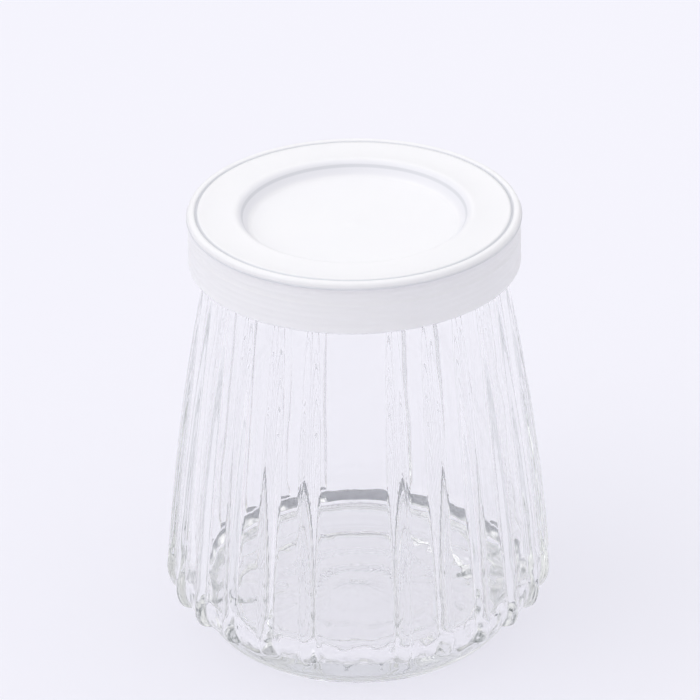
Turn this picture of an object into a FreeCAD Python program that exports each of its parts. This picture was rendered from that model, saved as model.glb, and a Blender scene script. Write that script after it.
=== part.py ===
import FreeCAD, Part

import math
import os

# A ribbed clear glass yogurt pot with its press-on plastic lid.
# Millimetres, +Z up. The pot stands on z = 0 with its axis on Z, and the front is -Y.
# jar is one solid of pressed glass. lid is the soft cap that snaps over the mouth.

Vector = FreeCAD.Vector

# ---- glass body -------------------------------------------------------------------
jar_height = 85.6            # foot to the rim of the mouth
widest_radius = 37.0         # over the ribs
widest_height = 13.8         # where the pot is widest
side_bulge = 1.05            # how far the rib line bows out from a straight cone
mouth_radius = 24.6          # inside the mouth
neck_wall = 3.4              # glass at the neck
side_wall = 3.0              # glass behind the panels
floor_height = 8.0           # inside floor, above the table
floor_corner_radius = 6.0    # inside, between floor and side

# ---- ribs ---------------------------------------------------------------------------
ribs_per_half = 12           # on each half of the mould
seam_panel_angle = 29.5      # wide plain panel over each mould seam, front and back
rib_round = 1.75             # radius of a rib's round section
rib_height = 1.25            # how far a rib stands out at the widest point
rib_sink = 0.25              # how far a rib dives under the surface at the neck
rib_rise = 0.5               # extra rib height half way up, so that it fades late
rib_stations = 9             # points along each of a rib's two arcs
rib_turn = 1.15              # the ribs come in by this much from the widest point to the edge
panel_turn = 1.45            # the same for the panels between them

# ---- heel and foot --------------------------------------------------------------------
edge_height = 9.0            # mould edge where the ribs stop and the heel starts
heel_inset = 7.5             # from the panels at that edge to the foot
heel_bulge = 1.2
foot_width = 1.8             # flat ring that the pot stands on
foot_round = 0.6
foot_inner_round = 0.9
push_up = 2.0                # hollow under the floor, at its middle
push_up_bulge = 0.3          # and how far that hollow bows up from a cone

# ---- neck and mouth -------------------------------------------------------------------
finish_height = 8.8          # from the neck's lower end to the rim
groove_depth = 0.6           # the neck pulls in above the shoulder
ring_reach = 1.0             # how far the snap ring stands out past the neck
ring_round = 1.7             # radius of the snap ring's section
ring_drop = 3.4              # snap ring's middle, below the rim
rim_round = 1.3              # rounding of the rim, each side

# ---- lid ------------------------------------------------------------------------------
lid_top = 1.7                # plastic above the rim, at the lid's crest
lid_plate = 1.3              # plastic in the middle of the lid
skirt_wall = 1.7
skirt_gap = 0.5              # between snap ring and skirt
skirt_drop = 8.8             # from the rim to the skirt's lower edge
snap_overlap = 0.35          # how far the lid's bead reaches in under the snap ring
snap_gap = 0.25              # between the lid's bead and the snap ring
snap_round = 0.7             # half the height of that bead
lid_edge_round = 1.5         # outer edge of the lid
crest_inset = 1.6            # from the lid's outer edge to its crest
dish_depth = 0.4             # hollow of the ring-shaped top
recess_depth = 2.9           # round recess in the middle of the lid
recess_slope = 1.9           # the recess wall leans out by this much
recess_margin = 3.0          # from the mouth's wall to the recess's upper edge
recess_lip_round = 0.5
plug_gap = 0.2               # between the lid's sealing lip and the mouth
plug_wall = 0.9
plug_depth = 2.2             # sealing lip, below the rim

# ---- worked out from those ----------------------------------------------------------
neck_radius = mouth_radius + neck_wall
neck_height = jar_height - finish_height
ring_radius = neck_radius + ring_reach
ring_height = jar_height - ring_drop
skirt_inner_radius = ring_radius + skirt_gap
lid_radius = skirt_inner_radius + skirt_wall
crest_height = jar_height + lid_top


# ---- outline helpers: a point is (radius, height) -------------------------------------
def point(place):
    return Vector(place[0], 0, place[1])


def line(start, end):
    return Part.LineSegment(point(start), point(end)).toShape()


def arc(start, middle, end):
    return Part.Arc(point(start), point(middle), point(end)).toShape()


def bowed(start, end, bulge):
    """The middle of an arc from start to end that bows out to the right of its way."""
    run, rise = end[0] - start[0], end[1] - start[1]
    span = math.hypot(run, rise)
    middle = ((start[0] + end[0]) / 2, (start[1] + end[1]) / 2)
    return (middle[0] + bulge * rise / span, middle[1] - bulge * run / span)


def bowed_arc(start, end, bulge):
    return arc(start, bowed(start, end, bulge), end)


def on_circle(centre, radius, towards):
    """The point of a circle on the side of another point."""
    run, rise = towards[0] - centre[0], towards[1] - centre[1]
    span = math.hypot(run, rise)
    return (centre[0] + radius * run / span, centre[1] + radius * rise / span)


def arc_on(centre, radius, start, end):
    """An arc of a circle, less than half of it, between two of its points."""
    half_way = ((start[0] + end[0]) / 2, (start[1] + end[1]) / 2)
    return arc(start, on_circle(centre, radius, half_way), end)


def turned(edges):
    """The ring-shaped solid that a closed outline sweeps round the Z axis."""
    face = Part.Face(Part.Wire(Part.__sortEdges__(edges)))
    return face.revolve(Vector(0, 0, 0), Vector(0, 0, 1), 360)


def distinct(places):
    """The same points in order, without the one where two edges meet said twice."""
    kept = places[:1]
    for place in places[1:]:
        if place.distanceToPoint(kept[-1]) > 0.001:
            kept.append(place)
    return kept


# ---- the side of the pot, as two arcs that meet smoothly ---------------------------------
class Side:
    """The upper arc runs from the widest point to the neck, the lower one turns in to the edge."""

    def __init__(self, wide_radius, top_radius, bulge, turn):
        self.wide = (wide_radius, widest_height)
        self.top = (top_radius, neck_height)
        self.low = (wide_radius - turn, edge_height)
        span = math.dist(self.wide, self.top)
        self.radius = (span * span / 4 + bulge * bulge) / (2 * bulge)
        chord_middle = ((self.wide[0] + self.top[0]) / 2, (self.wide[1] + self.top[1]) / 2)
        self.centre = on_circle(bowed(self.wide, self.top, bulge), self.radius, chord_middle)
        one_in = on_circle(self.wide, 1, self.centre)
        reach = math.dist(self.wide, self.low)
        depth = ((self.low[0] - self.wide[0]) * (one_in[0] - self.wide[0])
                 + (self.low[1] - self.wide[1]) * (one_in[1] - self.wide[1]))
        self.turn_radius = reach * reach / (2 * depth)
        self.turn_centre = on_circle(self.wide, self.turn_radius, self.centre)

    def edges(self, inset):
        """The lower and the upper arc, moved in by inset."""
        low = on_circle(self.turn_centre, self.turn_radius - inset, self.low)
        meet = on_circle(self.turn_centre, self.turn_radius - inset, self.wide)
        high = on_circle(self.centre, self.radius - inset, self.top)
        lower = arc_on(self.turn_centre, self.turn_radius - inset, low, meet)
        upper = arc_on(self.centre, self.radius - inset, meet, high)
        return [lower, upper]


rib_line = Side(widest_radius, neck_radius - rib_sink, side_bulge, rib_turn)
panel_line = Side(widest_radius - rib_height, neck_radius, side_bulge - rib_rise, panel_turn)


# ---- jar --------------------------------------------------------------------------------
def outer_blank():
    """The glass body without ribs and without its inside."""
    edge = panel_line.low
    foot_radius = edge[0] - heel_inset
    heel_end = (foot_radius, foot_round)
    flat_outer = (foot_radius - foot_round, 0)
    flat_inner = (flat_outer[0] - foot_width, 0)
    hollow_edge = (flat_inner[0] - foot_inner_round, foot_inner_round)
    hollow_top = (0, push_up)
    groove = (neck_radius - groove_depth, (neck_height + ring_height - ring_round) / 2)
    ring_centre = (ring_radius - ring_round, ring_height)
    ring_low = (ring_centre[0], ring_height - ring_round)
    ring_out = (ring_radius, ring_height)
    rim_outer_radius = ring_centre[0]
    ring_high = (ring_centre[0], ring_height + ring_round)
    rim_side = (rim_outer_radius, jar_height - rim_round)
    rim_top = (rim_outer_radius - rim_round, jar_height)

    edges = [bowed_arc(heel_end, edge, heel_bulge)]
    edges += panel_line.edges(0)
    edges.append(arc(panel_line.top, groove, ring_low))
    edges.append(arc_on(ring_centre, ring_round, ring_low, ring_out))
    edges.append(arc_on(ring_centre, ring_round, ring_out, ring_high))
    edges.append(line(ring_high, rim_side))
    edges.append(arc_on((rim_top[0], rim_side[1]), rim_round, rim_side, rim_top))
    edges.append(line(rim_top, (0, jar_height)))
    edges.append(line((0, jar_height), hollow_top))
    edges.append(bowed_arc(hollow_top, hollow_edge, push_up_bulge))
    edges.append(arc_on((flat_inner[0], foot_inner_round), foot_inner_round, hollow_edge, flat_inner))
    edges.append(line(flat_inner, flat_outer))
    edges.append(arc_on((flat_outer[0], foot_round), foot_round, flat_outer, heel_end))
    return turned(edges)


def inside():
    """The space for the yogurt, up through the mouth."""
    wall_radius = panel_line.radius - side_wall
    corner_height = floor_height + floor_corner_radius
    reach = wall_radius - floor_corner_radius
    rise = corner_height - panel_line.centre[1]
    corner = (panel_line.centre[0] + math.sqrt(reach * reach - rise * rise), corner_height)
    wall_low = on_circle(corner, -floor_corner_radius, panel_line.centre)
    wall_high = on_circle(panel_line.centre, wall_radius, panel_line.top)
    floor_edge = (corner[0], floor_height)
    mouth_low = (mouth_radius, neck_height + groove_depth)
    rim_inner = (mouth_radius, jar_height - rim_round)
    rim_top = (mouth_radius + rim_round, jar_height)
    above = jar_height + lid_top

    edges = [line((0, floor_height), floor_edge)]
    edges.append(arc_on(corner, floor_corner_radius, floor_edge, wall_low))
    edges.append(arc_on(panel_line.centre, wall_radius, wall_low, wall_high))
    edges.append(line(wall_high, mouth_low))
    edges.append(line(mouth_low, rim_inner))
    edges.append(arc_on((rim_top[0], rim_inner[1]), rim_round, rim_inner, rim_top))
    edges.append(line(rim_top, (rim_top[0], above)))
    edges.append(line((rim_top[0], above), (0, above)))
    edges.append(line((0, above), (0, floor_height)))
    return turned(edges)


def rib():
    """One round rib at the front, along the rib line and cut off at the mould edge."""
    places = []
    for edge in rib_line.edges(rib_round):
        places += sorted(edge.discretize(rib_stations), key=lambda place: place.z)
    way_down = (places[0] - places[1]).normalize()
    places.insert(0, places[0] + way_down * rib_round)
    middle_line = Part.BSplineCurve()
    middle_line.interpolate(distinct(places))
    middle = middle_line.toShape()
    section = Part.Wire(Part.makeCircle(rib_round, places[0], way_down))
    rod = Part.Wire(middle).makePipeShell([section], True, False)
    room = 2 * widest_radius
    above_edge = Part.makeBox(room, room, room, Vector(0, -room / 2, edge_height))
    front = rod.common(above_edge).Solids[0]
    front.rotate(Vector(0, 0, 0), Vector(0, 0, 1), -90)
    return front


def rib_angles():
    """Ribs are evenly spread over each half, between the plain panels at front and back."""
    pitch = (180 - seam_panel_angle) / (ribs_per_half - 1)
    one_half = [seam_panel_angle / 2 + pitch * count for count in range(ribs_per_half)]
    return one_half + [180 + angle for angle in one_half]


def jar():
    front_rib = rib()
    ribs = []
    for angle in rib_angles():
        copy = front_rib.copy()
        copy.rotate(Vector(0, 0, 0), Vector(0, 0, 1), angle)
        ribs.append(copy)
    return outer_blank().multiFuse(ribs).cut(inside())


# ---- lid --------------------------------------------------------------------------------
def lid():
    """A soft cap: dished ring-shaped top, round recess, skirt with a bead that snaps on."""
    skirt_low = jar_height - skirt_drop
    crest = (lid_radius - crest_inset, crest_height)
    edge_top = (lid_radius - lid_edge_round, crest_height)
    edge_side = (lid_radius, crest_height - lid_edge_round)
    lip_radius = mouth_radius - recess_margin
    lip = (lip_radius + recess_lip_round, crest_height - dish_depth / 2)
    wall_top = (lip_radius, lip[1] - recess_lip_round)
    wall_low = (lip_radius - recess_slope, crest_height - recess_depth)
    plug_outer = mouth_radius - plug_gap
    plug_inner = plug_outer - plug_wall
    plate_under = wall_low[1] - lid_plate
    under_wall_low = (wall_low[0], plate_under)
    under_wall_top = (min(lip_radius + lid_plate, plug_inner - plug_gap), jar_height)
    bead_height = ring_height - ring_round - snap_gap
    bead_tip = (ring_radius - snap_overlap, bead_height)
    bead_high = (skirt_inner_radius, bead_height + snap_round)
    bead_low = (skirt_inner_radius, bead_height - snap_round)

    edges = [line((0, wall_low[1]), wall_low)]
    edges.append(line(wall_low, wall_top))
    edges.append(arc_on((lip[0], wall_top[1]), recess_lip_round, wall_top, lip))
    edges.append(bowed_arc(lip, crest, dish_depth / 2))
    edges.append(line(crest, edge_top))
    edges.append(arc_on((edge_top[0], edge_side[1]), lid_edge_round, edge_top, edge_side))
    edges.append(line(edge_side, (lid_radius, skirt_low)))
    edges.append(line((lid_radius, skirt_low), (skirt_inner_radius, skirt_low)))
    edges.append(line((skirt_inner_radius, skirt_low), bead_low))
    edges.append(arc(bead_low, bead_tip, bead_high))
    edges.append(line(bead_high, (skirt_inner_radius, jar_height)))
    edges.append(line((skirt_inner_radius, jar_height), (plug_outer, jar_height)))
    edges.append(line((plug_outer, jar_height), (plug_outer, jar_height - plug_depth)))
    edges.append(line((plug_outer, jar_height - plug_depth), (plug_inner, jar_height - plug_depth)))
    edges.append(line((plug_inner, jar_height - plug_depth), (plug_inner, jar_height)))
    edges.append(line((plug_inner, jar_height), under_wall_top))
    edges.append(line(under_wall_top, under_wall_low))
    edges.append(line(under_wall_low, (0, plate_under)))
    edges.append(line((0, plate_under), (0, wall_low[1])))
    return turned(edges)


def write(shape, node):
    """Saves one node and says how it came out."""
    shape.exportStep(os.path.join("parts", node + ".step"))
    print(node, "solids", len(shape.Solids), "valid", shape.isValid(), "mm3", round(shape.Volume))


os.makedirs("parts", exist_ok=True)
write(jar(), "jar")
write(lid(), "lid")
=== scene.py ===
import math

import bpy
import numpy as np
from mathutils import Matrix, Vector


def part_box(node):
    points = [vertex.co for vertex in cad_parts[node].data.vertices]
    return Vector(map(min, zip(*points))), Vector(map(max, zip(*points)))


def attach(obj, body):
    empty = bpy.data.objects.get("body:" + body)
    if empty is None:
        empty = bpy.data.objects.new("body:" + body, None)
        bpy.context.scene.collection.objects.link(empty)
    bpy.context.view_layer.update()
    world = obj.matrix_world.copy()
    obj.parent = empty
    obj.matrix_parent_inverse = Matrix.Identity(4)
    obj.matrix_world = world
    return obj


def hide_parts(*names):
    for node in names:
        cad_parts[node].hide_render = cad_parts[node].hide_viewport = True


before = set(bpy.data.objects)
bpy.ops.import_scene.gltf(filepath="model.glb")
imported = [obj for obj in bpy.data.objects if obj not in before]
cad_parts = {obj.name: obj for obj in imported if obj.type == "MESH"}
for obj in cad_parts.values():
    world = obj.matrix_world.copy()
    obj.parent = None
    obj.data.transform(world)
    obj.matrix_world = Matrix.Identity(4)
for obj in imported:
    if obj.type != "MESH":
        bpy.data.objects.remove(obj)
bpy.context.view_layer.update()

# A clear ribbed glass yogurt pot with its milky press-on lid, standing empty on a pale table.
# Sizes are millimetres and become metres when a mesh is made. Angles go round from the front (-Y).

MM = 0.001

# ---- sizes from the frame ------------------------------------------------------------------------
jar_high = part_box("jar")[1]
lid_low, lid_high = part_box("lid")
RIM_HEIGHT = jar_high.z / MM
LID_RADIUS = lid_high.x / MM
LID_TOP = lid_high.z / MM
SKIRT_LOW = lid_low.z / MM

# ---- glass body ----------------------------------------------------------------------------------
WIDEST_RADIUS = 37.0         # over the ribs
WIDEST_HEIGHT = 13.8         # where the pot is widest
NECK_HEIGHT = RIM_HEIGHT - 8.8
NECK_RADIUS = 28.0
MOUTH_RADIUS = 24.6
SIDE_BULGE = 1.05            # how far the rib line bows out from a straight cone
SIDE_WALL = 3.0              # glass behind the panels
FLOOR_HEIGHT = 8.0           # inside floor, above the table
FLOOR_CORNER = 6.0           # inside, between floor and side
SIDE_ROWS = 40               # rows of the mesh up the outside, above its closely spaced lower part
LOW_ROWS_RISE = 1.3          # where that lower part starts, above the mould edge
LOW_ROWS_PAST = 3.0          # and where it ends, above the widest point
LOW_ROW_STEP = 0.6
WALL_ROWS = 36               # down the inside
CORNER_ROWS = 18             # round the inner corner
FLOOR_ROWS = 14

# ---- ribs ----------------------------------------------------------------------------------------
SEAM_PANEL_ANGLE = 29.5      # plain panel over each mould seam, in degrees
RIBS_PER_HALF = 12
RIB_ROUND = 1.75             # radius of a rib's round section
RIB_HEIGHT = 1.25            # how far a rib stands out at the widest point
RIB_SINK = 0.25              # how far a rib dives under the surface at the neck
RIB_RISE = 0.5               # extra rib height half way up, so that it fades late
RIB_TURN = 1.15              # the ribs come in by this much from the widest point to the edge
PANEL_TURN = 1.45            # the same for the panels between them
RIB_FLANK = 2.0              # how steeply a rib falls away beyond its round section
ROOT_BLEND = 0.5             # how softly a rib grows out of its panels
RIB_COLUMNS = (0.0, 0.45, 0.9, 1.25, 1.55, 1.8, 2.1, 2.6)   # on each side of a rib's middle
RIB_HALF_ANGLE = 4.3         # degrees that those columns take up on each side
PANEL_COLUMN_ANGLE = 1.6     # degrees between columns on a panel
FEWEST_PANEL_COLUMNS = 3
# Rows just above the mould edge, where the ribs end in a small round: (rise, share of a rib)
EDGE_ROWS = ((0.0, 0.2), (0.06, 0.75), (0.2, 0.93), (0.45, 0.99), (0.8, 1.0))
SEAM_HEIGHT = 0.12           # fine ridge at the mould's joint
SEAM_REACH = 0.8             # from its crest to each side

# ---- heel and foot -------------------------------------------------------------------------------
EDGE_HEIGHT = 9.0            # mould edge under the ribs
EDGE_ROUND = 0.3
EDGE_STEP = 0.03             # from that round to the first row of the side
LEDGE = 5.0                  # flat underside of the ribs, just inside the mould edge
LEDGE_DROP = 0.5
HEEL_INSET = 7.5             # from the panels at the mould edge to the foot
HEEL_BULGE = 2.0
HEEL_ROWS = 14
FOOT_WIDTH = 1.8             # flat ring that the pot stands on
FOOT_ROUND = 0.6
FOOT_INNER_ROUND = 0.9
PUSH_UP = 2.0                # hollow under the floor, at its middle
PUSH_UP_BULGE = 0.3
HOLLOW_ROWS = 22

# ---- neck and mouth ------------------------------------------------------------------------------
NECK_BOW = -0.25             # the neck bows in from the side to the ring
RING_RADIUS = NECK_RADIUS + 1.0
RING_HEIGHT = RIM_HEIGHT - 3.4
RING_ROUND = 1.7             # radius of the section of the ring that holds the lid
GROOVE_DEPTH = 0.6
RIM_ROUND = 1.3              # rounding of the rim, each side

# ---- waves in the pressed glass: (seed, length) of each kind, and its depth ----------------------
WAVES_CROSSING = 9
SKIN_ROOM = 0.05             # keeps the waves within the pot's outline
SIDE_WAVES = (3, 14.0)
SIDE_WAVE_DEPTH = 0.006
LOW_SIDE_WAVES = (4, 3.4)    # finer, and only low on the side
LOW_SIDE_WAVE_DEPTH = 0.006
LOW_SIDE_REACH = 18.0
EDGE_CALM = 4.0              # waves die out over this height towards the mould edge
NECK_CALM = 6.0              # and over this one towards the neck
INSIDE_WAVES = (8, 17.0)
INSIDE_WAVE_DEPTH = 0.01
SETTLED_WAVES = (9, 7.0)     # where the thick glass settled, low in the pot
SETTLED_WAVE_DEPTH = 0.15
SETTLED_REACH = 20.0
HIGH_SETTLED_DEPTH = INSIDE_WAVE_DEPTH / 5
MOUTH_CALM = 10.0            # the inside is calm just under the neck
MOUTH_LEAST = 0.05
CORNER_WAVES = (10, 2.8)
CORNER_WAVE_DEPTH = 0.08
UNDER_WAVES = (11, 8.0)      # in the hollow under the floor
UNDER_WAVE_DEPTH = 0.04
UNDER_RIPPLE = 0.3           # round ripples in that hollow
RIPPLE_LENGTH = 6.5
UNDER_CALM = 6.0             # the larger, the later they die out towards the foot

# ---- lid -----------------------------------------------------------------------------------------
LID_COLUMNS = 288
LID_PLATE = 1.3              # plastic in the middle of the lid
SKIRT_WALL = 1.7
SKIRT_RING = 0.035           # depth of the faint turned rings on the skirt
SKIRT_RING_ROWS = 6          # mesh rows to one such ring
SKIRT_STEP = 4.5             # from the lid's top to the faint step in the skirt
RECESS_DEPTH = 2.9           # round recess in the middle of the lid
RECESS_SLOPE = 1.9           # its wall leans out by this much
RECESS_MARGIN = 3.0          # from the mouth's wall to the recess's upper edge
GATE_RADIUS = 1.3            # small raised mark at the recess's middle
GATE_RISE = 0.1
GATE_SHOULDER = (0.8, 0.08)  # where its top rounds off: distance from the axis, and rise
DISH_BULGE = 0.26            # how the ring-shaped top bows up
DISH_ROWS = 16
EDGE_GROOVE = 0.28           # bulge of the grooves above and below the edge bead
HOLD_GAP = 0.25              # between the skirt's inner bead and the glass ring
HOLD_ROUND = 0.7             # half the height of that bead
HOLD_REACH = 0.8             # how far it stands in
SEAT_GAP = 0.005             # between the rim and the plastic over it
PLUG_GAP = 0.2               # between the lid's sealing lip and the mouth
PLUG_WALL = 0.9
PLUG_DEPTH = 2.2             # sealing lip, below the rim
PLUG_ROUND = 0.3             # height of the rounding of its lower edge

# ---- glass finish --------------------------------------------------------------------------------
GLASS_TINT = (0.993, 0.992, 0.994)
GLASS_SHADE = (0.99, 0.989, 0.99)   # what one skin of glass lets through of soft light
GLASS_DEPTH = (0.81, 0.826, 0.82)   # a thick piece looks faintly green-grey
GLASS_DENSITY = 17.0
GLASS_IOR = 1.5
GLASS_ROUGHNESS = 0.02       # at most, where the skin is hazy
GLASS_HAZE_SCALE = 260.0
GLASS_BUMP_SCALE = 70.0
GLASS_BUMP = 0.01
GLASS_BUMP_DEPTH = 0.0004

# ---- lid finish ----------------------------------------------------------------------------------
LID_MILK = (0.895, 0.89, 0.92)
LID_BRIGHT = (0.92, 0.915, 0.94)
LID_CLOUD_SCALE = 90.0       # slow change between those two
LID_SLOPE_SHADE = (0.80, 0.80, 0.85)      # painted shade on the recess's wall
LID_SLOPE_SHADE_PLACE = (MOUTH_RADIUS - 3.7, 1.3)    # distance from the axis, and reach
LID_SLOPE_SHADE_SHARE = 0.6
LID_GROOVE_SHADE = (0.66, 0.67, 0.71)       # painted shade in the edge groove and in the fold under the bead
LID_EDGE_GROOVE_SHADE_PLACE = (LID_RADIUS - 1.65, 0.4)       # distance from the axis, and reach
LID_FOLD_SHADE_PLACE = (LID_TOP - 1.15, 0.35)         # height, and reach
LID_FOLD_SHADE_SHARE = 0.7
LID_SOAK = 0.4               # share of the light that soaks into the plastic
LID_SPREAD = 0.0008          # and how far it spreads, in metres
LID_IOR = 1.5
LID_SATIN = 0.34             # roughness at the least
LID_SATIN_CHANGE = 0.12
LID_GRAIN_SCALE = 2600.0
LID_GRAIN = 0.12
LID_GRAIN_DEPTH = 0.00003

# ---- table ---------------------------------------------------------------------------------------
TABLE_PALE = (0.88, 0.87, 0.935)
TABLE_COOL = (0.865, 0.86, 0.925)
TABLE_CLOUD_SCALE = 3.0
TABLE_ROUGHNESS = 0.9
TABLE_SHINE = 0.1
TABLE_REACH = 0.6            # in metres
TABLE_SIDES = 96
TABLE_GAP = 0.00002          # keeps the table's face off the foot's, in metres

# ---- light ---------------------------------------------------------------------------------------
SKY_TOP = 1.03               # strength overhead
SKY_LOW = 0.2                # strength at the horizon
SKY_EVEN = 0.32              # the smaller, the sooner it brightens above the horizon
SKY_WHITE = (1.0, 1.0, 1.01)
WINDOW = 0.75                # what the window adds at its middle
WINDOW_WAY = (-0.68, -0.25, 0.69)
WINDOW_EDGE = 0.72           # cosine of the angle from its middle to its edge
WINDOW_FULL = 0.98
ROOM_FRONT = 0.92            # strength behind the camera, against the rest
ROOM_FRONT_EDGE = 0.45
ROOM_FRONT_FULL = 0.97

# ---- camera --------------------------------------------------------------------------------------
CAMERA_DISTANCE = 1.0        # metres from the point that it looks at
CAMERA_HEIGHT = 0.05753      # of that point
CAMERA_ASIDE = -0.0011       # of that point, to the camera's right
CAMERA_ELEVATION = 27.51     # degrees, as are the next two
CAMERA_ROLL = -0.78
CAMERA_TURN = 1.4
CAMERA_LENS = 271.9
CAMERA_SENSOR = 36.0
CAMERA_NEAREST = 0.01

LIGHT_TURNS = 48             # light turns many times inside thick ribbed glass

# Sockets of a colour Mix node, which has several with the same name
MIX_MASK, MIX_FIRST, MIX_SECOND, MIX_RESULT = 0, 6, 7, 2


# ---- outlines: lists of (radius, height) ---------------------------------------------------------
def middle_of_bow(start, end, bulge):
    """The middle of an arc from start to end that bows out to the right of its way."""
    run, rise = end[0] - start[0], end[1] - start[1]
    span = math.hypot(run, rise)
    return ((start[0] + end[0]) / 2 + bulge * rise / span, (start[1] + end[1]) / 2 - bulge * run / span)


def circle_centre(start, middle, end):
    """The centre of the circle through three points."""
    (ax, ay), (bx, by), (cx, cy) = start, middle, end
    twice = 2 * (ax * (by - cy) + bx * (cy - ay) + cx * (ay - by))
    a, b, c = ax * ax + ay * ay, bx * bx + by * by, cx * cx + cy * cy
    return ((a * (by - cy) + b * (cy - ay) + c * (ay - by)) / twice,
            (a * (cx - bx) + b * (ax - cx) + c * (bx - ax)) / twice)


def bow(start, end, bulge, steps):
    """Points along an arc, without its first one. The bulge stays under half the span."""
    centre = circle_centre(start, middle_of_bow(start, end, bulge), end)
    radius = math.dist(centre, start)
    first = math.atan2(start[1] - centre[1], start[0] - centre[0])
    turn = math.atan2(end[1] - centre[1], end[0] - centre[0]) - first
    turn = (turn + math.pi) % (2 * math.pi) - math.pi
    angles = [first + turn * step / steps for step in range(1, steps + 1)]
    return [(centre[0] + radius * math.cos(a), centre[1] + radius * math.sin(a)) for a in angles]


def quarter(start, corner, end, steps):
    """A rounded corner from start to end that bows towards corner, without its first point."""
    points = []
    for step in range(1, steps + 1):
        turn = math.pi / 2 * step / steps
        near, far = 1 - math.sin(turn), 1 - math.cos(turn)
        points.append((corner[0] + (start[0] - corner[0]) * near + (end[0] - corner[0]) * far,
                       corner[1] + (start[1] - corner[1]) * near + (end[1] - corner[1]) * far))
    return points


def straight(start, end, steps):
    """Points along a line, without its first one."""
    return [(start[0] + (end[0] - start[0]) * step / steps,
             start[1] + (end[1] - start[1]) * step / steps) for step in range(1, steps + 1)]


class Side:
    """The pot's side: an arc from the widest point to the neck and one that turns in below."""

    def __init__(self, wide_radius, top_radius, bulge, turn):
        wide = (wide_radius, WIDEST_HEIGHT)
        top = (top_radius, NECK_HEIGHT)
        low = (wide_radius - turn, EDGE_HEIGHT)
        self.centre = circle_centre(wide, middle_of_bow(wide, top, bulge), top)
        self.radius = math.dist(self.centre, wide)
        inward = ((self.centre[0] - wide[0]) / self.radius, (self.centre[1] - wide[1]) / self.radius)
        reach = math.dist(wide, low)
        depth = (low[0] - wide[0]) * inward[0] + (low[1] - wide[1]) * inward[1]
        self.turn_radius = reach * reach / (2 * depth)
        self.turn_centre = (wide[0] + inward[0] * self.turn_radius, wide[1] + inward[1] * self.turn_radius)

    def at(self, height):
        """The outside's radius at a height."""
        if height >= WIDEST_HEIGHT:
            return self.behind(height, 0.0)
        rise = height - self.turn_centre[1]
        return self.turn_centre[0] + math.sqrt(self.turn_radius ** 2 - rise * rise)

    def behind(self, height, wall):
        """The radius at a height on the long arc, moved in by a wall."""
        rise = height - self.centre[1]
        return self.centre[0] + math.sqrt((self.radius - wall) ** 2 - rise * rise)


rib_line = Side(WIDEST_RADIUS, NECK_RADIUS - RIB_SINK, SIDE_BULGE, RIB_TURN)
panel_line = Side(WIDEST_RADIUS - RIB_HEIGHT, NECK_RADIUS, SIDE_BULGE - RIB_RISE, PANEL_TURN)


# ---- mesh helpers --------------------------------------------------------------------------------
def turned_mesh(name, angles, rings):
    """A closed skin through rings of (radius, height), each a number or one value a column.
    The first and the last ring are single points on the axis."""
    across, along = np.sin(angles), -np.cos(angles)
    columns = len(angles)
    points = [(0.0, 0.0, float(rings[0][1]))]
    for radius, height in rings[1:-1]:
        radius = np.broadcast_to(radius, columns)
        height = np.broadcast_to(height, columns)
        points += list(zip(radius * across, radius * along, height))
    points.append((0.0, 0.0, float(rings[-1][1])))
    faces = []
    last = len(points) - 1
    ring_count = len(rings) - 2
    for column in range(columns):
        after = (column + 1) % columns
        faces.append((0, 1 + after, 1 + column))
        for ring in range(ring_count - 1):
            low, high = 1 + ring * columns, 1 + (ring + 1) * columns
            faces.append((low + column, low + after, high + after, high + column))
        top = 1 + (ring_count - 1) * columns
        faces.append((top + column, top + after, last))
    mesh = bpy.data.meshes.new(name)
    mesh.from_pydata((np.array(points) * MM).tolist(), [], faces)
    mesh.validate()
    mesh.shade_smooth()
    piece = bpy.data.objects.new(name, mesh)
    bpy.context.scene.collection.objects.link(piece)
    return piece


def glass_waves(kind, angles, height, depth):
    """Slow waves in pressed glass: crossing ripples of one kind's length and of about one depth."""
    seed, length = kind
    draw = np.random.default_rng(seed)
    total = np.zeros_like(angles)
    for lean, phase in draw.uniform(0, 2 * math.pi, (WAVES_CROSSING, 2)):
        around = round(WIDEST_RADIUS * 2 * math.pi / length * math.cos(lean))
        total += np.sin(around * angles + height * 2 * math.pi / length * math.sin(lean) + phase)
    return total * depth * math.sqrt(2 / WAVES_CROSSING)


# ---- jar -----------------------------------------------------------------------------------------
def rib_angles():
    """Where the ribs stand: the same on both halves of the mould."""
    pitch = (180 - SEAM_PANEL_ANGLE) / (RIBS_PER_HALF - 1)
    half = [SEAM_PANEL_ANGLE / 2 + pitch * count for count in range(RIBS_PER_HALF)]
    return np.radians(half + [180 + angle for angle in half])


def glass_columns():
    """Angles round the pot: close together over each rib and seam, further apart on the panels."""
    offsets = sorted(set(RIB_COLUMNS) | {-offset for offset in RIB_COLUMNS})
    half_rib = math.radians(RIB_HALF_ANGLE)
    angles = []
    ribs = rib_angles()
    for index, rib in enumerate(ribs):
        angles += [rib + offset / WIDEST_RADIUS for offset in offsets]
        after = ribs[(index + 1) % len(ribs)] + (2 * math.pi if index + 1 == len(ribs) else 0)
        panel = after - rib - 2 * half_rib
        count = max(FEWEST_PANEL_COLUMNS, round(math.degrees(panel) / PANEL_COLUMN_ANGLE))
        angles += [rib + half_rib + panel * (step + 0.5) / count for step in range(count)]
    for seam in (0.0, math.pi):
        angles += [seam - SEAM_REACH / WIDEST_RADIUS, seam + SEAM_REACH / WIDEST_RADIUS]
    return np.unique(np.array(angles) % (2 * math.pi))


def seam_ridge(angles):
    """The fine raised line that the mould's joint leaves at the front and the back."""
    aside = np.abs(np.sin(angles)) * WIDEST_RADIUS
    return SEAM_HEIGHT * np.maximum(1 - aside / SEAM_REACH, 0.0)


def from_nearest_rib(angles):
    """Each column's angle from the rib next to it."""
    gaps = (angles[:, None] - rib_angles()[None, :] + math.pi) % (2 * math.pi) - math.pi
    nearest = np.abs(gaps).argmin(1)
    return gaps[np.arange(len(angles)), nearest]


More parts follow.
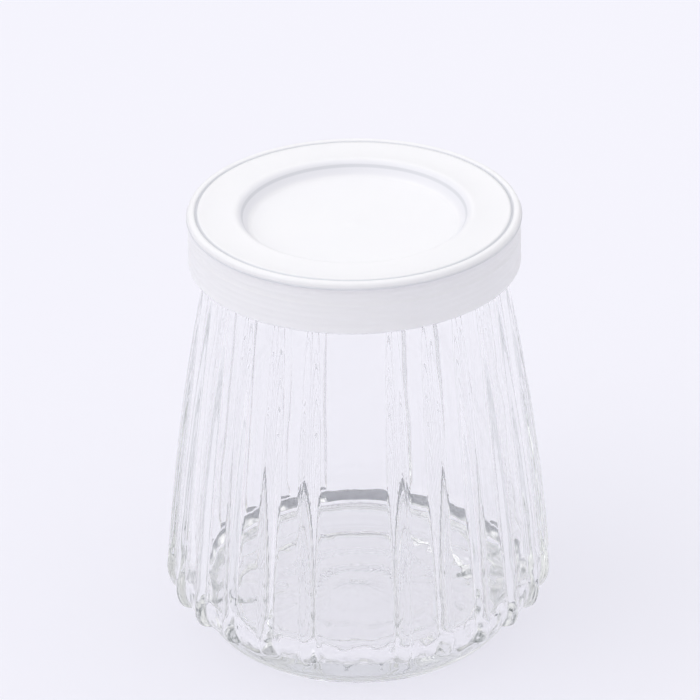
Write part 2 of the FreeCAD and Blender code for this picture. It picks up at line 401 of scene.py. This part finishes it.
def ribbed_radius(height, gaps, share):
    """The outside of the glass at a height: panels, with a share of each round rib blended on."""
    panel = panel_line.at(height)
    crest = rib_line.at(height)
    aside = gaps * crest
    round_part = np.sqrt(np.maximum(RIB_ROUND ** 2 - aside ** 2, 0.0))
    beyond = np.maximum(np.abs(aside) - RIB_ROUND, 0.0)
    rib = crest - RIB_ROUND + round_part - RIB_FLANK * beyond
    overlap = np.maximum(ROOT_BLEND - np.abs(rib - panel), 0.0)
    blended = np.maximum(rib, panel) + overlap * overlap / (4 * ROOT_BLEND)
    return panel + (blended - panel) * share


def hollow_and_foot(angles, foot_radius):
    """From the axis out under the floor, over the flat ring of the foot and up its outer round."""
    flat_outer = (foot_radius - FOOT_ROUND, 0.0)
    flat_inner = (flat_outer[0] - FOOT_WIDTH, 0.0)
    hollow_edge = (flat_inner[0] - FOOT_INNER_ROUND, FOOT_INNER_ROUND)
    rings = [(0.0, PUSH_UP)]
    for radius, height in bow((0.0, PUSH_UP), hollow_edge, PUSH_UP_BULGE, HOLLOW_ROWS)[:-1]:
        spread = radius / hollow_edge[0]
        ripple = UNDER_RIPPLE * math.sin(2 * math.pi * radius / RIPPLE_LENGTH) * spread
        waves = glass_waves(UNDER_WAVES, angles, radius, UNDER_WAVE_DEPTH) * spread * spread
        calm = min(1.0, UNDER_CALM * (1 - spread))
        rings.append((radius, height + (ripple + waves) * calm))
    rings.append(hollow_edge)
    rings += quarter(hollow_edge, (hollow_edge[0], 0.0), flat_inner, steps=5)
    rings += straight(flat_inner, flat_outer, steps=2)
    rings += quarter(flat_outer, (foot_radius, 0.0), (foot_radius, FOOT_ROUND), steps=5)
    return rings


def heel_and_ledge(foot_radius, edge_radius):
    """The bulging heel, the flat ledge under the ribs and the mould edge."""
    ledge_inner = (edge_radius - LEDGE, EDGE_HEIGHT - LEDGE_DROP)
    edge_low = (edge_radius - EDGE_ROUND, EDGE_HEIGHT - EDGE_ROUND)
    edge_corner = (edge_radius, EDGE_HEIGHT - EDGE_ROUND)
    edge_side = (edge_radius, EDGE_HEIGHT - EDGE_STEP)
    rings = bow((foot_radius, FOOT_ROUND), ledge_inner, HEEL_BULGE, HEEL_ROWS)
    rings += straight(ledge_inner, edge_low, steps=4)
    rings += quarter(edge_low, edge_corner, edge_side, steps=4)
    return rings


def side_rows():
    """Heights up the outside, each with the share of the ribs that stands there."""
    rows = [(EDGE_HEIGHT + rise, share) for rise, share in EDGE_ROWS]
    low_rows = np.arange(EDGE_HEIGHT + LOW_ROWS_RISE, WIDEST_HEIGHT + LOW_ROWS_PAST, LOW_ROW_STEP)
    high_rows = np.linspace(low_rows[-1], NECK_HEIGHT, SIDE_ROWS)[1:]
    return rows + [(height, 1.0) for height in (*low_rows, *high_rows)]


def ribbed_side(angles):
    """The outside from the mould edge up to the neck."""
    gaps = from_nearest_rib(angles)
    rings = []
    for height, share in side_rows():
        calm = min(1.0, (height - EDGE_HEIGHT) / EDGE_CALM, (NECK_HEIGHT - height) / NECK_CALM)
        low_down = max(1 - (height - EDGE_HEIGHT) / LOW_SIDE_REACH, 0.0)
        waves = glass_waves(SIDE_WAVES, angles, height, SIDE_WAVE_DEPTH)
        waves += glass_waves(LOW_SIDE_WAVES, angles, height, LOW_SIDE_WAVE_DEPTH * low_down)
        inset = (SKIN_ROOM + waves - seam_ridge(angles)) * max(calm, 0.0)
        rings.append((ribbed_radius(height, gaps, share) - inset, height))
    return rings


def neck_and_mouth():
    """The neck, the ring that holds the lid, the rounded rim and the mouth's straight inside."""
    ring_middle = RING_RADIUS - RING_ROUND
    ring_low = (ring_middle, RING_HEIGHT - RING_ROUND)
    ring_out = (RING_RADIUS, RING_HEIGHT)
    ring_high = (ring_middle, RING_HEIGHT + RING_ROUND)
    rim_side = (ring_middle, RIM_HEIGHT - RIM_ROUND)
    rim_top = (ring_middle - RIM_ROUND, RIM_HEIGHT)
    rim_inner_top = (MOUTH_RADIUS + RIM_ROUND, RIM_HEIGHT)
    rim_inner = (MOUTH_RADIUS, RIM_HEIGHT - RIM_ROUND)
    mouth_low = (MOUTH_RADIUS, NECK_HEIGHT + GROOVE_DEPTH)
    rings = bow((NECK_RADIUS, NECK_HEIGHT), ring_low, NECK_BOW, steps=6)
    rings += quarter(ring_low, (RING_RADIUS, ring_low[1]), ring_out, steps=6)
    rings += quarter(ring_out, (RING_RADIUS, ring_high[1]), ring_high, steps=6)
    rings += straight(ring_high, rim_side, steps=1)
    rings += quarter(rim_side, (rim_side[0], RIM_HEIGHT), rim_top, steps=6)
    rings.append(rim_inner_top)
    rings += quarter(rim_inner_top, (MOUTH_RADIUS, RIM_HEIGHT), rim_inner, steps=6)
    rings += straight(rim_inner, mouth_low, steps=4)
    return rings


def inside_waves(angles, height, settled):
    """The inside's slow waves, with a share of the deeper ones of the settled glass."""
    settled_depth = HIGH_SETTLED_DEPTH + SETTLED_WAVE_DEPTH * settled
    waves = glass_waves(INSIDE_WAVES, angles, height, INSIDE_WAVE_DEPTH)
    return waves + glass_waves(SETTLED_WAVES, angles, height, settled_depth)


def inside(angles):
    """From the neck down the wall, round the inner corner and over the floor to the axis."""
    corner_height = FLOOR_HEIGHT + FLOOR_CORNER
    corner_radius = panel_line.behind(corner_height, SIDE_WALL + FLOOR_CORNER)
    lean = math.atan2(corner_height - panel_line.centre[1], corner_radius - panel_line.centre[0])
    wall_low = corner_height + FLOOR_CORNER * math.sin(lean)
    rings = []
    for height in np.linspace(NECK_HEIGHT, wall_low, WALL_ROWS):
        calm = min(1.0, (NECK_HEIGHT - height) / MOUTH_CALM + MOUTH_LEAST)
        settled = max(1 - (height - FLOOR_HEIGHT) / SETTLED_REACH, 0.0)
        waves = inside_waves(angles, height, settled)
        rings.append((panel_line.behind(height, SIDE_WALL) + waves * calm, height))
    for step in range(1, CORNER_ROWS + 1):
        turn = lean - (lean + math.pi / 2) * step / CORNER_ROWS
        height = corner_height + FLOOR_CORNER * math.sin(turn)
        corner_depth = CORNER_WAVE_DEPTH * math.sin(math.pi * step / (CORNER_ROWS + 1))
        waves = inside_waves(angles, height, 1.0) + glass_waves(CORNER_WAVES, angles, height, corner_depth)
        across = FLOOR_CORNER + waves
        rings.append((corner_radius + across * math.cos(turn), corner_height + across * math.sin(turn)))
    waves = inside_waves(angles, FLOOR_HEIGHT, 1.0)
    for radius, height in straight((corner_radius, FLOOR_HEIGHT), (0.0, FLOOR_HEIGHT), FLOOR_ROWS)[:-1]:
        rings.append((radius, height - waves * (radius / corner_radius) ** 2))
    rings.append((0.0, FLOOR_HEIGHT))
    return rings


def jar_glass():
    """The whole pot as one closed skin, from under its foot to its inside floor."""
    angles = glass_columns()
    edge_radius = panel_line.at(EDGE_HEIGHT)
    foot_radius = edge_radius - HEEL_INSET
    rings = hollow_and_foot(angles, foot_radius)
    rings += heel_and_ledge(foot_radius, edge_radius)
    rings += ribbed_side(angles)
    rings += neck_and_mouth()
    rings += inside(angles)
    return turned_mesh("ribbed_glass", angles, rings)


# ---- lid -----------------------------------------------------------------------------------------
RECESS_LIP = MOUTH_RADIUS - RECESS_MARGIN       # radius of the recess's upper edge
RECESS_RADIUS = RECESS_LIP - RECESS_SLOPE       # and of its floor
RECESS_FLOOR = LID_TOP - RECESS_DEPTH
SKIRT_INNER = LID_RADIUS - SKIRT_WALL


def ringed(start, end, count):
    """A line down the skirt with a few faint turned rings, without its first point."""
    points = straight(start, end, SKIRT_RING_ROWS * count)
    turn = 2 * math.pi / SKIRT_RING_ROWS
    return [(radius - SKIRT_RING * (1 - math.cos(turn * (index + 1))), height)
            for index, (radius, height) in enumerate(points)]


def lid_recess():
    """From the small mark in the middle over the recess's floor and up to its rounded lip."""
    floor_end = (RECESS_RADIUS - 0.7, RECESS_FLOOR)
    wall_low = (RECESS_RADIUS + 0.4, RECESS_FLOOR + 0.6)
    wall_top = (RECESS_LIP - 0.35, LID_TOP - 0.8)
    lip = (RECESS_LIP + 0.9, LID_TOP - 0.2)
    gate_shoulder = (GATE_SHOULDER[0], RECESS_FLOOR + GATE_SHOULDER[1])
    outline = [(0.0, RECESS_FLOOR + GATE_RISE), gate_shoulder, (GATE_RADIUS, RECESS_FLOOR)]
    outline += straight(outline[-1], floor_end, steps=14)
    outline += quarter(floor_end, (RECESS_RADIUS, RECESS_FLOOR), wall_low, steps=5)
    outline += straight(wall_low, wall_top, steps=3)
    outline += quarter(wall_top, (RECESS_LIP, LID_TOP - 0.25), lip, steps=6)
    return outline


def lid_edge(lip):
    """The ring-shaped top, and the edge bead with a groove on each side of it."""
    dish_end = (LID_RADIUS - 2.0, LID_TOP - 0.1)
    bead_root = (LID_RADIUS - 1.3, LID_TOP - 0.12)
    bead_corner = (LID_RADIUS - 1.2, LID_TOP)
    crest = (LID_RADIUS - 0.8, LID_TOP)
    bead_side = (LID_RADIUS, LID_TOP - 0.75)
    groove_top = (LID_RADIUS, LID_TOP - 0.85)
    groove_low = (LID_RADIUS - 0.2, LID_TOP - 1.45)
    outline = bow(lip, dish_end, DISH_BULGE, DISH_ROWS)
    outline += bow(dish_end, bead_root, EDGE_GROOVE, steps=5)
    outline += quarter(bead_root, bead_corner, crest, steps=5)
    outline += quarter(crest, (LID_RADIUS, LID_TOP), bead_side, steps=8)
    outline += straight(bead_side, groove_top, steps=1)
    outline += bow(groove_top, groove_low, -EDGE_GROOVE, steps=6)
    return outline


def lid_skirt(groove_low):
    """Down the outside of the skirt, round its lower edge and up inside past the holding bead."""
    step_top = (LID_RADIUS - 0.16, LID_TOP - SKIRT_STEP + 0.1)
    step_low = (LID_RADIUS - 0.05, LID_TOP - SKIRT_STEP - 0.15)
    edge_side = (LID_RADIUS, SKIRT_LOW + 0.5)
    edge_outer = (LID_RADIUS - 0.5, SKIRT_LOW)
    edge_inner = (SKIRT_INNER + 0.3, SKIRT_LOW)
    inside_low = (SKIRT_INNER, SKIRT_LOW + 0.4)
    bead_height = RING_HEIGHT - RING_ROUND - HOLD_GAP
    bead_low = (SKIRT_INNER, bead_height - HOLD_ROUND)
    bead_high = (SKIRT_INNER, bead_height + HOLD_ROUND)
    inside_top = (SKIRT_INNER, RIM_HEIGHT - 0.5)
    outline = ringed(groove_low, step_top, 3)
    outline += straight(outline[-1], step_low, steps=2)
    outline += ringed(step_low, (step_low[0], SKIRT_LOW + 0.9), 4)
    outline.append(edge_side)
    outline += quarter(edge_side, (LID_RADIUS, SKIRT_LOW), edge_outer, steps=4)
    outline += straight(edge_outer, edge_inner, steps=2)
    outline += quarter(edge_inner, (SKIRT_INNER, SKIRT_LOW), inside_low, steps=3)
    outline += straight(inside_low, bead_low, steps=3)
    outline += bow(bead_low, bead_high, -HOLD_REACH, steps=6)
    outline += straight(bead_high, inside_top, steps=5)
    return outline


def lid_underside(inside_top):
    """Over the rim, round the sealing lip and under the recess to the axis."""
    over_rim = RIM_HEIGHT + SEAT_GAP
    plug_outer = MOUTH_RADIUS - PLUG_GAP
    plug_inner = plug_outer - PLUG_WALL
    plug_low = RIM_HEIGHT - PLUG_DEPTH
    plug_turn = plug_low + PLUG_ROUND
    plate_under = RECESS_FLOOR - LID_PLATE
    seat_outer = (SKIRT_INNER - 0.5, over_rim)
    slope_low = (RECESS_RADIUS + 0.6, plate_under + 0.3)
    plate_edge = (RECESS_RADIUS - 0.4, plate_under)
    outline = quarter(inside_top, (SKIRT_INNER, RIM_HEIGHT), seat_outer, steps=3)
    outline += straight(seat_outer, (plug_outer, over_rim), steps=4)
    outline += straight((plug_outer, over_rim), (plug_outer, plug_turn), steps=3)
    outline += quarter(outline[-1], (plug_outer, plug_low), (plug_outer - PLUG_WALL / 2, plug_low), steps=3)
    outline += quarter(outline[-1], (plug_inner, plug_low), (plug_inner, plug_turn), steps=3)
    outline += straight((plug_inner, plug_turn), (plug_inner, RIM_HEIGHT), steps=3)
    outline += straight((plug_inner, RIM_HEIGHT), (RECESS_LIP + LID_PLATE, RIM_HEIGHT), steps=1)
    outline += straight(outline[-1], slope_low, steps=4)
    outline += quarter(slope_low, (RECESS_RADIUS + 0.3, plate_under), plate_edge, steps=3)
    outline += straight(plate_edge, (0.0, plate_under), steps=6)
    return outline


def lid_shell():
    """The whole lid as one closed skin, from its underside to the middle of its top."""
    outline = lid_recess()
    outline += lid_edge(outline[-1])
    outline += lid_skirt(outline[-1])
    outline += lid_underside(outline[-1])
    angles = np.arange(LID_COLUMNS) * 2 * math.pi / LID_COLUMNS
    return turned_mesh("press_on_lid", angles, outline[::-1])


# ---- shader maths as plain expressions -----------------------------------------------------------
class Shade:
    """A socket in an expression: arithmetic on it adds Math nodes."""

    def __init__(self, recipe, socket):
        self.recipe = recipe
        self.socket = socket

    def maths(self, operation, first, second):
        return self.recipe.node("ShaderNodeMath", {"operation": operation}, {0: first, 1: second})

    def __add__(self, other):
        return self.maths("ADD", self, other)

    __radd__ = __add__

    def __mul__(self, other):
        return self.maths("MULTIPLY", self, other)

    __rmul__ = __mul__

    def __sub__(self, other):
        return self.maths("SUBTRACT", self, other)

    def __rsub__(self, other):
        return self.maths("SUBTRACT", other, self)

    def __pow__(self, other):
        return self.maths("POWER", self, other)


class Recipe:
    """The node tree of one material or of the world."""

    def __init__(self, owner):
        owner.use_nodes = True
        self.tree = owner.node_tree
        self.tree.nodes.clear()

    def node(self, kind, settings=None, inputs=None, output=0):
        """A node of a kind with its settings, and values or links for its sockets."""
        made = self.tree.nodes.new(kind)
        for key, value in (settings or {}).items():
            setattr(made, key, value)
        for key, value in (inputs or {}).items():
            if isinstance(value, Shade):
                self.tree.links.new(value.socket, made.inputs[key])
            else:
                made.inputs[key].default_value = value
        return Shade(self, made.outputs[output])

    def place(self):
        return self.node("ShaderNodeTexCoord", output="Object")

    def axes(self, place):
        return [self.node("ShaderNodeSeparateXYZ", {}, {0: place}, output=axis) for axis in "XYZ"]

    def noise(self, place, scale, detail):
        return self.node("ShaderNodeTexNoise", {}, {"Vector": place, "Scale": scale, "Detail": detail})

    def eased(self, value, start, end, first, last):
        """Goes smoothly from first, where value is at start, to last, where it is at end."""
        return self.node("ShaderNodeMapRange", {"interpolation_type": "SMOOTHSTEP"}, {
            "Value": value, "From Min": start, "From Max": end, "To Min": first, "To Max": last})

    def near(self, value, centre, reach):
        """1 where value is at centre, fading to 0 at reach from it. Both are in millimetres."""
        return self.eased((value - centre * MM) ** 2, 0.0, (reach * MM) * (reach * MM), 1.0, 0.0)

    def colour_between(self, mask, first, second):
        """First where the mask is 0, second where it is 1."""
        first, second = [colour if isinstance(colour, Shade) else (*colour, 1.0)
                         for colour in (first, second)]
        return self.node("ShaderNodeMix", {"data_type": "RGBA"}, {
            MIX_FIRST: first, MIX_SECOND: second, MIX_MASK: mask}, output=MIX_RESULT)

    def shader_between(self, mask, first, second):
        return self.node("ShaderNodeMixShader", {}, {0: mask, 1: first, 2: second})

    def bump(self, height, strength, distance):
        return self.node("ShaderNodeBump", {}, {
            "Height": height, "Strength": strength, "Distance": distance})

    def output(self, kind, **shaders):
        end = self.tree.nodes.new(kind)
        for socket, shader in shaders.items():
            self.tree.links.new(shader.socket, end.inputs[socket])


def material(name, colour):
    made = bpy.data.materials.new(name)
    made.diffuse_color = (*colour, 1.0)
    return made, Recipe(made)


def clear_glass():
    """Pressed glass: clear, with slow waves and a faint haze in the fire-polished skin.
    Shadow rays and soft light go straight through each skin, and the tint grows with the depth."""
    made, recipe = material("clear_glass", GLASS_TINT)
    place = recipe.place()
    haze = recipe.noise(place, GLASS_HAZE_SCALE, detail=3.0)
    waves = recipe.noise(place, GLASS_BUMP_SCALE, detail=2.0)
    relief = recipe.bump(waves, GLASS_BUMP, GLASS_BUMP_DEPTH)
    glass = recipe.node("ShaderNodeBsdfPrincipled", {}, {
        "Base Color": (*GLASS_TINT, 1.0), "Roughness": haze * GLASS_ROUGHNESS, "IOR": GLASS_IOR,
        "Transmission Weight": 1.0, "Normal": relief})
    passed = recipe.node("ShaderNodeBsdfTransparent", {}, {"Color": (*GLASS_SHADE, 1.0)})
    soft = recipe.node("ShaderNodeLightPath", output="Is Diffuse Ray")
    shadow = recipe.node("ShaderNodeLightPath", output="Is Shadow Ray")
    skin = recipe.shader_between(shadow, recipe.shader_between(soft, glass, passed), passed)
    depth = recipe.node("ShaderNodeVolumeAbsorption", {}, {
        "Color": (*GLASS_DEPTH, 1.0), "Density": GLASS_DENSITY})
    recipe.output("ShaderNodeOutputMaterial", Surface=skin, Volume=depth)
    return made


def lid_plastic():
    """Milky soft plastic: satin, with a fine moulded grain, and painted shade on the recess's wall, in the
    edge groove and in the fold under the bead.
    """
    made, recipe = material("milky_plastic", LID_MILK)
    place = recipe.place()
    cloud = recipe.noise(place, LID_CLOUD_SCALE, detail=3.0)
    grain = recipe.noise(place, LID_GRAIN_SCALE, detail=2.0)
    across, along, height = recipe.axes(place)
    out = (across * across + along * along) ** 0.5
    milk = recipe.colour_between(cloud, LID_MILK, LID_BRIGHT)
    # Painted shade: a darker colour on the recess's wall.
    slope_shade = recipe.near(out, *LID_SLOPE_SHADE_PLACE) * LID_SLOPE_SHADE_SHARE
    # Painted shade: a darker colour in the groove inside the edge bead and in the fold under it.
    groove_shade = recipe.near(out, *LID_EDGE_GROOVE_SHADE_PLACE) + recipe.near(height, *LID_FOLD_SHADE_PLACE) * LID_FOLD_SHADE_SHARE
    colour = recipe.colour_between(groove_shade, recipe.colour_between(slope_shade, milk, LID_SLOPE_SHADE), LID_GROOVE_SHADE)
    plastic = recipe.node("ShaderNodeBsdfPrincipled", {}, {
        "Base Color": colour, "Roughness": LID_SATIN + cloud * LID_SATIN_CHANGE, "IOR": LID_IOR,
        "Subsurface Weight": LID_SOAK, "Subsurface Radius": (1.0, 1.0, 1.0), "Subsurface Scale": LID_SPREAD,
        "Normal": recipe.bump(grain, LID_GRAIN, LID_GRAIN_DEPTH)})
    recipe.output("ShaderNodeOutputMaterial", Surface=plastic)
    return made


def table_paper():
    """Matt pale paper with a slow change of tone."""
    made, recipe = material("pale_table", TABLE_PALE)
    cloud = recipe.noise(recipe.place(), TABLE_CLOUD_SCALE, detail=2.0)
    paper = recipe.node("ShaderNodeBsdfPrincipled", {}, {
        "Base Color": recipe.colour_between(cloud, TABLE_COOL, TABLE_PALE), "Roughness": TABLE_ROUGHNESS,
        "Specular IOR Level": TABLE_SHINE})
    recipe.output("ShaderNodeOutputMaterial", Surface=paper)
    return made


# ---- the piece list ------------------------------------------------------------------------------
jar = jar_glass()
jar.data.materials.append(clear_glass())
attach(jar, "root")
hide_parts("jar")

lid = lid_shell()
lid.data.materials.append(lid_plastic())
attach(lid, "root")
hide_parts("lid")


# ---- table, light and camera ---------------------------------------------------------------------
def table():
    """A flat round sheet of paper, just under the foot."""
    around = [2 * math.pi * step / TABLE_SIDES for step in range(TABLE_SIDES)]
    corners = [(TABLE_REACH * math.cos(turn), TABLE_REACH * math.sin(turn), -TABLE_GAP) for turn in around]
    mesh = bpy.data.meshes.new("table")
    mesh.from_pydata(corners, [], [tuple(range(TABLE_SIDES))])
    mesh.materials.append(table_paper())
    floor = bpy.data.objects.new("table", mesh)
    bpy.context.scene.collection.objects.link(floor)


def studio():
    """A pale tent: bright overhead, softer low down, a wide window high on the left, dimmer in front."""
    world = bpy.data.worlds.new("studio")
    bpy.context.scene.world = world
    recipe = Recipe(world)
    direction = recipe.node("ShaderNodeTexCoord", output="Generated")
    along, height = recipe.axes(direction)[1:]
    above = recipe.node("ShaderNodeClamp", {}, {"Value": height})
    tent = above ** SKY_EVEN * (SKY_TOP - SKY_LOW) + SKY_LOW
    facing = recipe.node("ShaderNodeVectorMath", {"operation": "DOT_PRODUCT"},
                         {0: direction, 1: WINDOW_WAY}, output="Value")
    window = recipe.eased(facing, WINDOW_EDGE, WINDOW_FULL, 0.0, 1.0)
    front = recipe.eased(0 - along, ROOM_FRONT_EDGE, ROOM_FRONT_FULL, 0.0, 1.0)
    level = (tent + window * WINDOW) * (1 - front * (1 - ROOM_FRONT))
    back = recipe.node("ShaderNodeBackground", {}, {"Color": (*SKY_WHITE, 1.0), "Strength": level})
    recipe.output("ShaderNodeOutputWorld", Surface=back)


def camera():
    """A long lens a metre away, looking down at the pot."""
    elevation = math.radians(CAMERA_ELEVATION)
    roll = math.radians(CAMERA_ROLL)
    turn = math.radians(CAMERA_TURN)
    level = math.cos(elevation)
    right = Vector((math.cos(turn), math.sin(turn), 0))
    back = Vector((math.sin(turn) * level, -math.cos(turn) * level, math.sin(elevation)))
    up = right.cross(-back)
    side = right * math.cos(roll) + up * math.sin(roll)
    top = up * math.cos(roll) - right * math.sin(roll)
    place = right * CAMERA_ASIDE + Vector((0, 0, CAMERA_HEIGHT)) + back * CAMERA_DISTANCE
    data = bpy.data.cameras.new("camera")
    data.lens = CAMERA_LENS
    data.sensor_width = CAMERA_SENSOR
    data.clip_start = CAMERA_NEAREST
    eye = bpy.data.objects.new("camera", data)
    bpy.context.scene.collection.objects.link(eye)
    eye.matrix_world = Matrix.Translation(place) @ Matrix((side, top, back)).transposed().to_4x4()
    bpy.context.scene.camera = eye


table()
studio()
camera()
bpy.context.scene.view_settings.view_transform = "Standard"
for limit in ("max_bounces", "transmission_bounces", "glossy_bounces"):
    setattr(bpy.context.scene.cycles, limit, LIGHT_TURNS)
